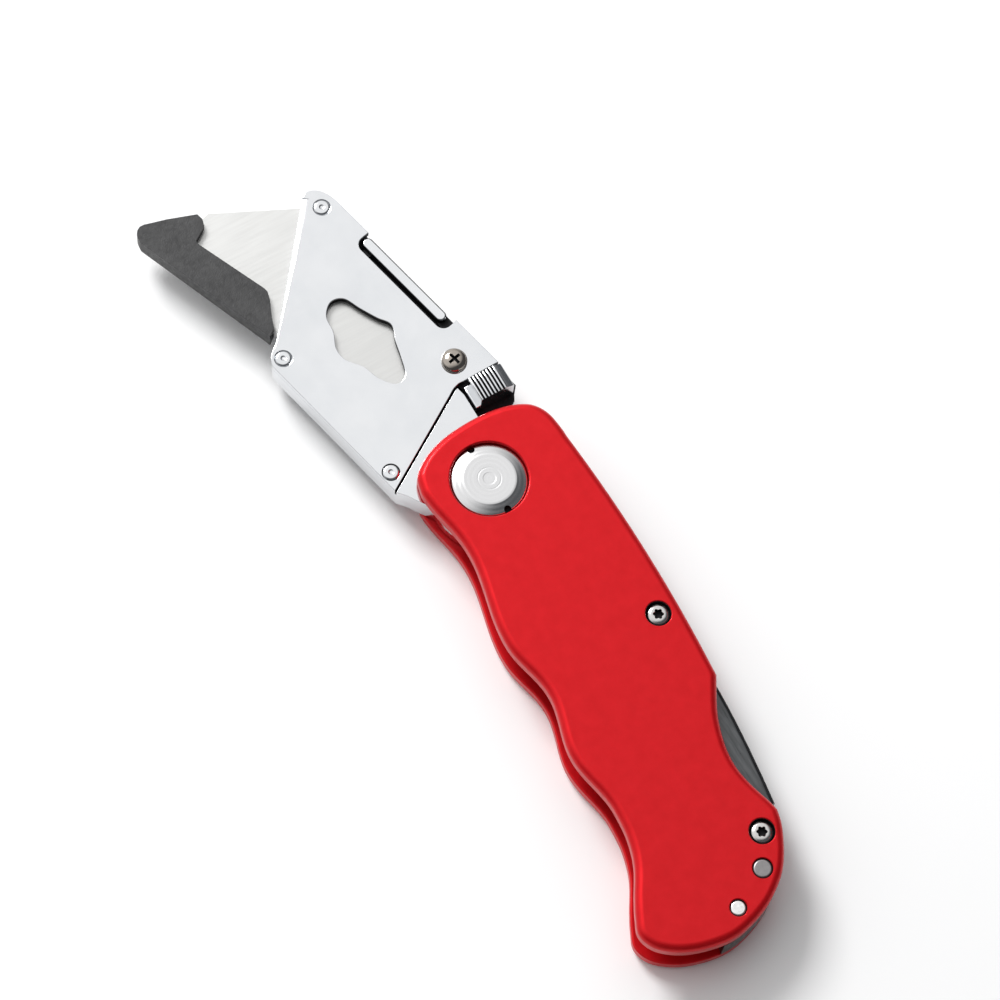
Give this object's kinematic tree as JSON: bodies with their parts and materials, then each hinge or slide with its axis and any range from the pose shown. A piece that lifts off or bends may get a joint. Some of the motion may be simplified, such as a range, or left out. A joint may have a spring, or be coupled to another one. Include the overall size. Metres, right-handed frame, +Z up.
{
  "type": "folding utility knife",
  "caption": "Folding lock-back utility knife with red handle scales, a quick-release blade head and a guarded trapezoid blade.",
  "frame": {"origin": "centre of the base of the bounding box, on the outer face of the rear scale", "axes": "+X from the butt to the blade tip, +Y towards the cutting edge, +Z up out of the side with the screw heads"},
  "size_m": [0.1486, 0.0432, 0.0119],
  "materials": {
    "red_anodised": "semi-gloss",
    "bright_chrome": "polished",
    "dark_steel": "satin",
    "bright_steel": "bright",
    "blade_steel": "ground",
    "black_plastic": "matt"
  },
  "bodies": {
    "handle": {"front_scale": "red_anodised", "rear_scale": "red_anodised", "backspacer": "dark_steel", "lock_spring": "bright_steel", "pivot_bolt": "bright_chrome", "pivot_nut": "bright_chrome", "front_washer": "bright_steel", "rear_washer": "bright_steel", "lock_pivot_screw": "bright_steel", "lock_pivot_nut": "bright_steel", "butt_screw": "bright_steel", "butt_nut": "bright_steel", "lock_pivot_sleeve": "bright_steel", "butt_pin_large": "bright_steel", "butt_pin_small": "bright_steel"},
    "lock_bar": {"lock_bar": "dark_steel"},
    "head": {"head_body": "bright_chrome", "cover_plate": "bright_chrome", "rivet_front": "bright_chrome", "rivet_edge": "bright_chrome", "rivet_rear": "bright_chrome", "lever_screw": "bright_steel", "lever_spring": "bright_steel"},
    "lever": {"release_lever": "bright_chrome"},
    "blade": {"blade": "blade_steel"},
    "guard": {"blade_guard": "black_plastic"}
  },
  "joints": [
    {"name": "head_fold", "type": "hinge", "parent": "handle", "child": "head", "pos_m": [0.00778, -0.00609, 0.0059], "axis": [0, 0, 1], "range_deg": [0, 153]},
    {"name": "lock_bar_rock", "type": "hinge", "parent": "handle", "child": "lock_bar", "pos_m": [-0.02453, -0.01769, 0.0059], "axis": [0, 0, 1], "range_deg": [-3, 0], "stiffness_Nm_per_rad": 0.6, "springref_deg": 2.86, "deforming": ["lock_spring"]},
    {"name": "blade_release", "type": "hinge", "parent": "head", "child": "lever", "pos_m": [0.02898, -0.01221, 0.0059], "axis": [0, 0, 1], "range_deg": [-2.5, 0], "stiffness_Nm_per_rad": 0.2, "springref_deg": 2.86, "deforming": ["lever_spring"]},
    {"name": "blade_slide", "type": "slide", "parent": "head", "child": "blade", "axis": [0.9748, 0.2233, 0], "range_m": [0, 0.05]},
    {"name": "guard_slide", "type": "slide", "parent": "blade", "child": "guard", "axis": [0.9748, 0.2233, 0], "range_m": [0, 0.03]}
  ]
}
